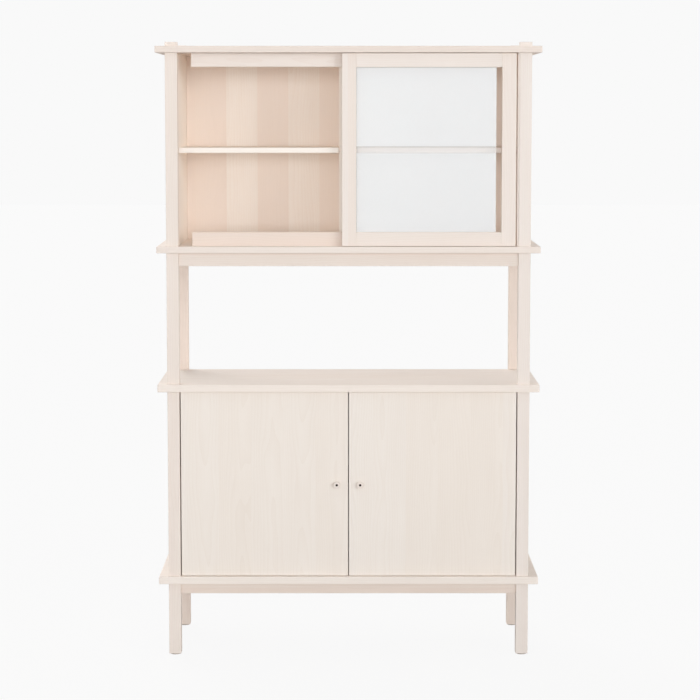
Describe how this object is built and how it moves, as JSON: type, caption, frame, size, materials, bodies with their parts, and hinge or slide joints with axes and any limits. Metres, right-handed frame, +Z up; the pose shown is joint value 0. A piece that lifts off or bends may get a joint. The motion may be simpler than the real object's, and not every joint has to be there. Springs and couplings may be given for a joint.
{
  "type": "sideboard",
  "caption": "Tall pale-wood sideboard: cupboard with hinged doors, open bay over its counter, and an upper cabinet with shelves and a framed sliding door.",
  "frame": {"origin": "on the floor, under the middle of the bounding box", "axes": "+Z up, the front faces -Y, +X to the right as seen from the front"},
  "size_m": [1.106, 0.41, 1.783],
  "materials": {
    "pale_wood": "matt whitened lacquer",
    "panel_wood": "matt veneer, vertical grain",
    "door_wood": "matt veneer, vertical grain",
    "dowel_wood": "bare",
    "satin_glass": "satin, translucent",
    "steel": "zinc plated",
    "brass": "plain",
    "nylon": "plain",
    "dark_cap": "matt",
    "glide_plastic": "matt",
    "catch_plastic": "matt"
  },
  "bodies": {
    "carcass": {"front_left_post": "pale_wood", "front_right_post": "pale_wood", "back_left_post": "pale_wood", "back_right_post": "pale_wood", "bottom_front_rail": "pale_wood", "bottom_back_rail": "pale_wood", "bottom_left_rail": "pale_wood", "bottom_right_rail": "pale_wood", "middle_front_rail": "pale_wood", "middle_back_rail": "pale_wood", "middle_left_rail": "pale_wood", "middle_right_rail": "pale_wood", "bottom_board": "pale_wood", "counter_board": "pale_wood", "middle_board": "pale_wood", "top_board": "pale_wood", "lower_left_side": "pale_wood", "lower_right_side": "pale_wood", "upper_left_side": "pale_wood", "upper_right_side": "pale_wood", "upper_divider": "pale_wood", "lower_stop_rail": "pale_wood", "upper_stop_rail": "pale_wood", "closing_strip": "pale_wood", "lower_shelf": "pale_wood", "left_upper_shelf": "pale_wood", "right_upper_shelf": "pale_wood", "lower_back_panel": "panel_wood", "upper_back_panel": "panel_wood", "rail_dowels": "dowel_wood", "panel_dowels": "dowel_wood", "post_screws": "steel", "shelf_pegs": "steel", "door_pivot_pins": "steel", "foot_glides": "glide_plastic", "door_catch": "catch_plastic"},
    "left_door": {"left_door_panel": "door_wood", "left_door_bushes": "brass", "left_door_knob": "pale_wood", "left_knob_cap": "dark_cap", "left_knob_screw": "steel", "left_strike_plate": "steel"},
    "right_door": {"right_door_panel": "door_wood", "right_door_bushes": "brass", "right_door_knob": "pale_wood", "right_knob_cap": "dark_cap", "right_knob_screw": "steel", "right_strike_plate": "steel"},
    "sliding_door": {"sliding_left_stile": "pale_wood", "sliding_right_stile": "pale_wood", "sliding_lower_rail": "pale_wood", "sliding_upper_rail": "pale_wood", "sliding_pane": "satin_glass", "sliding_lower_shoes": "nylon", "sliding_upper_shoes": "nylon"}
  },
  "joints": [
    {"name": "left_door_hinge", "type": "hinge", "parent": "carcass", "child": "left_door", "pos_m": [-0.4695, -0.183, 0.505], "axis": [0, 0, -1], "range_deg": [0, 100]},
    {"name": "right_door_hinge", "type": "hinge", "parent": "carcass", "child": "right_door", "pos_m": [0.4695, -0.183, 0.505], "axis": [0, 0, 1], "range_deg": [0, 100]},
    {"name": "sliding_door_slide", "type": "slide", "parent": "carcass", "child": "sliding_door", "axis": [1, 0, 0], "range_m": [-0.465, 0]}
  ]
}
